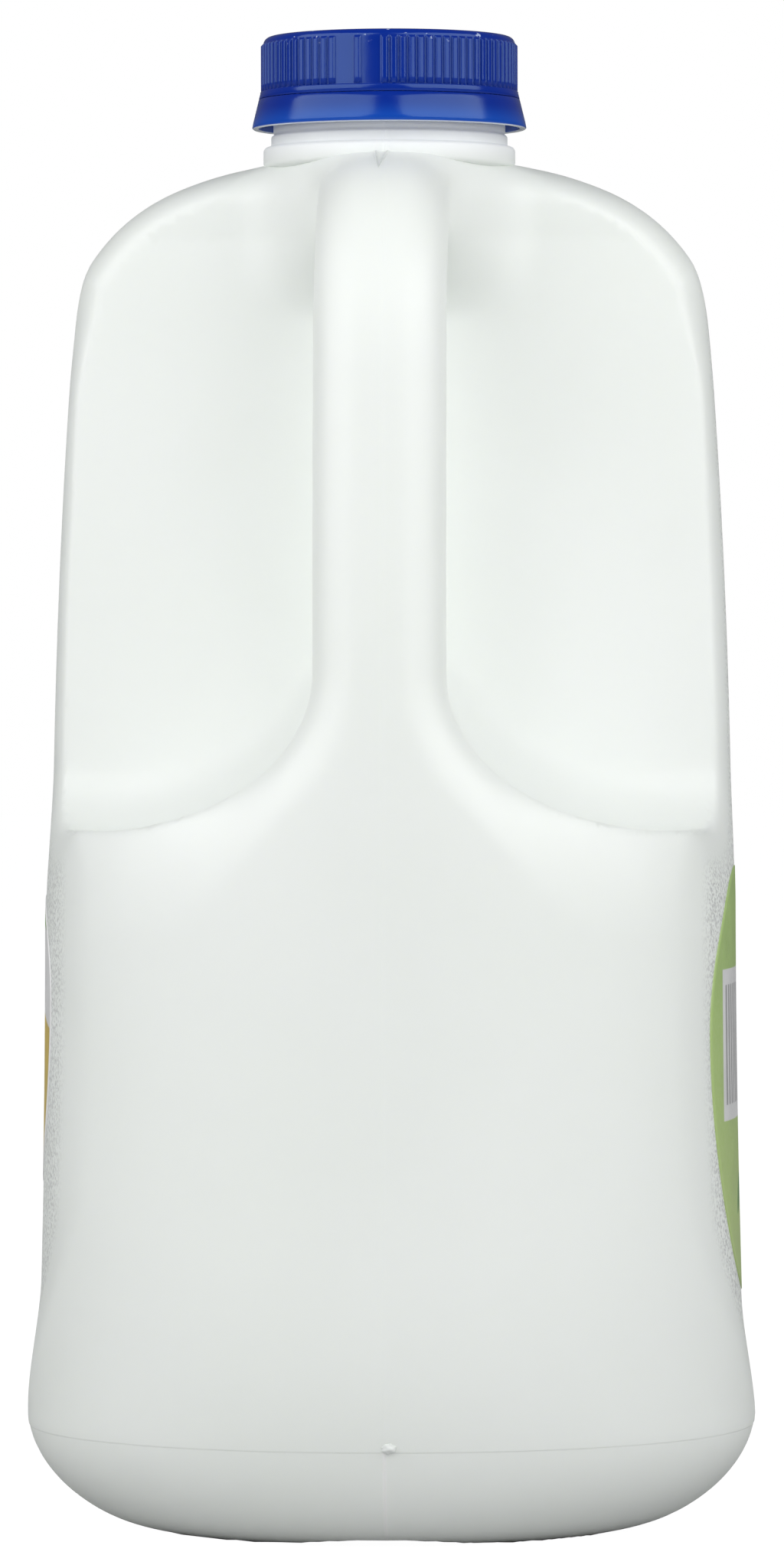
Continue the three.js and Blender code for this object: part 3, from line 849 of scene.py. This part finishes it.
def add_slice(paint, colour, y, z, centre, radius, segments=9):
    """A round slice of lemon: rind, pith and segments."""
    rind, distance, off_y, off_z = disc(paint, y, z, centre, radius)
    pith = paint.ramp(distance, 0.92 * radius, 0.88 * radius)
    angle = paint.number("ARCTAN2", off_z, off_y)
    turn = paint.number("ABSOLUTE", paint.number("SINE", paint.number("MULTIPLY", angle, segments / 2)))
    from_wall = paint.number("MULTIPLY", paint.number("MULTIPLY", turn, distance), 2 / segments)
    off_walls = paint.ramp(from_wall, 0.25, 0.5)
    pulp = paint.number("MULTIPLY", off_walls, paint.ramp(distance, 0.84 * radius, 0.8 * radius))
    colour = paint.blend(rind, colour, (0.80, 0.55, 0.05, 1))
    colour = paint.blend(pith, colour, (0.90, 0.86, 0.62, 1))
    return paint.blend(pulp, colour, (0.86, 0.70, 0.16, 1))


def add_leaf(paint, colour, y, z, centre, size, lean):
    """A pointed leaf: where two circles overlap."""
    shift = (0.75 * size * math.cos(lean), 0.75 * size * math.sin(lean))
    first = disc(paint, y, z, (centre[0] - shift[0], centre[1] - shift[1]), size)[0]
    second = disc(paint, y, z, (centre[0] + shift[0], centre[1] + shift[1]), size)[0]
    return paint.blend(paint.number("MULTIPLY", first, second), colour, (0.10, 0.26, 0.06, 1))


def label_rim(paint, y, z, label):
    """Share of the way from a label's middle to its rim."""
    across = paint.number("DIVIDE", y, label["half"])
    off_z = paint.number("SUBTRACT", z, label["mid_z"])
    rise = paint.number("DIVIDE", paint.number("MAXIMUM", off_z, 0.0), label["rise"])
    drop = paint.number("DIVIDE", paint.number("MINIMUM", off_z, 0.0), label["drop"])
    squares = [paint.number("MULTIPLY", part, part) for part in (across, rise, drop)]
    return paint.number("SQRT", paint.number("ADD", paint.number("ADD", *squares[:2]), squares[2]))


def finish_film(paint, colour):
    """Semi-gloss printed film with a faint ink mottle."""
    mottle = paint.ramp(paint.noise(0.8, 2), 0.2, 0.8, 0.0, 0.08)
    paint.finish("Base Color", paint.blend(mottle, colour, grey(0.8)))
    paint.finish("Roughness", paint.ramp(paint.noise(6, 3), 0.3, 0.7, 0.3, 0.42))
    ripple = paint.bump(paint.noise(9, 2), 0.05)
    paint.finish("Normal", paint.bump(paint.noise(0.4, 1), 0.008, ripple))
    return paint.material


def left_film():
    """White rim, a green top, a pale band with a leaf and a yellow field with two lemon slices."""
    paint = Paint("label_left_film", 0.36)
    y, z = paint.place()
    wave = paint.number("MULTIPLY", paint.number("SINE", paint.number("MULTIPLY", y, 0.2)), 1.2)
    level = paint.number("ADD", z, wave)
    colour = paint.blend(paint.ramp(level, 58, 66), (0.80, 0.72, 0.50, 1), (0.70, 0.52, 0.11, 1))
    colour = paint.blend(paint.ramp(level, 80.5, 81), colour, grey(0.86))
    colour = paint.blend(paint.ramp(level, 94.5, 95), colour, (0.22, 0.42, 0.10, 1))
    colour = add_leaf(paint, colour, y, z, (8, 88), 7, 0.7)
    for centre, radius in (((-4.5, 71), 8.5), ((9, 65), 5)):
        colour = add_slice(paint, colour, y, z, centre, radius)
    rim = paint.ramp(label_rim(paint, y, z, LEFT_LABEL), 0.945, 0.955)
    return finish_film(paint, paint.blend(rim, colour, grey(0.88)))


def right_film():
    """Green field with a pale ruled box near the handle side, a slice and leaves."""
    paint = Paint("label_right_film", 0.36)
    y, z = paint.place()
    colour = paint.blend(paint.ramp(z, 40, 100), (0.46, 0.60, 0.22, 1), (0.40, 0.57, 0.19, 1))
    box = paint.number("MULTIPLY", stripe(paint, y, -21.5, 0), stripe(paint, z, 65, 89))
    field = paint.number("MULTIPLY", stripe(paint, y, -20, -1.5), stripe(paint, z, 67.5, 86.5))
    bars = paint.ramp(paint.number("SINE", paint.number("MULTIPLY", y, 2.6)), -0.2, 0.1)
    colour = paint.blend(box, colour, grey(0.78))
    colour = paint.blend(paint.number("MULTIPLY", field, bars), colour, grey(0.36))
    for centre, size, lean in (((8, 57), 8, 0.6), ((-6, 53), 7, 2.4), ((14, 90), 6, 2.0)):
        colour = add_leaf(paint, colour, y, z, centre, size, lean)
    colour = add_slice(paint, colour, y, z, (13, 75), 9.5)
    return finish_film(paint, colour)


def dress(piece, node, material):
    piece.data.materials.append(material)
    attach(piece, "root")
    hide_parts(node)


def build_part():
    white = jug_skin()
    blue = cap_skin()
    flashes = [build_flash(f"ring_flash_{k + 1}", x) for k, x in enumerate(FLASH_STARTS)]
    lumps = [build_lump("base_flash_front", -1), build_lump("base_flash_back", 1)]
    for piece in [build_body(), build_neck(), *flashes, *lumps]:
        dress(piece, "jug", white)
    dress(build_cap(), "cap", blue)
    dress(build_band(), "tamper_band", blue)
    dress(build_label("label_film_left", LEFT_LABEL), "label_left", left_film())
    dress(build_label("label_film_right", RIGHT_LABEL), "label_right", right_film())


def turned_to(place, aim):
    return Matrix.Translation(place) @ (aim - place).to_track_quat("-Z", "Y").to_matrix().to_4x4()


def around(azimuth, distance, height):
    """Place in metres round the jug; azimuth 0 is in front of the handle."""
    return Vector((distance * math.sin(azimuth), -distance * math.cos(azimuth), height)) * MM


def build_camera():
    data = bpy.data.cameras.new("camera")
    data.sensor_width = SENSOR
    data.lens = FOCAL_PIXELS * SENSOR / max(IMAGE_SIZE)
    data.clip_end = 100
    camera = bpy.data.objects.new("camera", data)
    place = around(CAMERA_AZIMUTH, CAMERA_DISTANCE, CAMERA_Z)
    camera.matrix_world = turned_to(place, Vector(AIM) * MM) @ Matrix.Rotation(CAMERA_ROLL, 4, "Z")
    bpy.context.scene.collection.objects.link(camera)
    bpy.context.scene.camera = camera


def by_camera_ray(tree, seen, unseen):
    """Shader that the camera sees one way while its light on the part is another."""
    path = tree.nodes.new("ShaderNodeLightPath")
    chooser = tree.nodes.new("ShaderNodeMixShader")
    tree.links.new(path.outputs["Is Camera Ray"], chooser.inputs["Fac"])
    tree.links.new(unseen.outputs[0], chooser.inputs[1])
    tree.links.new(seen.outputs[0], chooser.inputs[2])
    output = next(node for node in tree.nodes if node.type.startswith("OUTPUT"))
    tree.links.new(chooser.outputs[0], output.inputs["Surface"])


def floor_material():
    material = bpy.data.materials.new("floor")
    material.use_nodes = True
    tree = material.node_tree
    pale = tree.nodes.new("ShaderNodeBsdfDiffuse")
    pale.inputs["Color"].default_value = grey(FLOOR_SEEN)
    glow = tree.nodes.new("ShaderNodeEmission")
    glow.inputs["Strength"].default_value = FLOOR_GLOW
    seen = tree.nodes.new("ShaderNodeAddShader")
    tree.links.new(pale.outputs[0], seen.inputs[0])
    tree.links.new(glow.outputs[0], seen.inputs[1])
    dull = tree.nodes.new("ShaderNodeBsdfDiffuse")
    dull.inputs["Color"].default_value = grey(FLOOR_BOUNCE)
    by_camera_ray(tree, seen, dull)
    return material


def build_floor():
    reach = FLOOR_REACH
    corners = [(-reach, -reach, 0), (reach, -reach, 0), (reach, reach, 0), (-reach, reach, 0)]
    floor = add_mesh("floor", corners, [(0, 1, 2, 3)])
    floor.data.materials.append(floor_material())


def build_world():
    world = bpy.data.worlds.new("studio")
    world.use_nodes = True
    tree = world.node_tree
    light = tree.nodes["Background"]
    light.inputs["Color"].default_value = WORLD_COLOUR
    light.inputs["Strength"].default_value = WORLD_LIGHT
    white = tree.nodes.new("ShaderNodeBackground")
    white.inputs["Color"].default_value = grey(1)
    by_camera_ray(tree, white, light)
    bpy.context.scene.world = world
    bpy.context.scene.view_settings.view_transform = "Standard"


def add_softbox(name, azimuth, watts):
    data = bpy.data.lights.new(name, "AREA")
    data.shape = "RECTANGLE"
    data.size, data.size_y = (side * MM for side in SOFTBOX_SIZE)
    data.energy = watts
    box = bpy.data.objects.new(name, data)
    place = around(azimuth, SOFTBOX_DISTANCE, SOFTBOX_Z)
    box.matrix_world = turned_to(place, Vector((0, 0, SOFTBOX_AIM_Z)) * MM)
    bpy.context.scene.collection.objects.link(box)


build_part()
build_camera()
build_floor()
build_world()
for side, watts in zip((-1, 1), SOFTBOX_WATTS):
    add_softbox(f"softbox_{'right' if side > 0 else 'left'}", math.radians(side * SOFTBOX_AZIMUTH), watts)
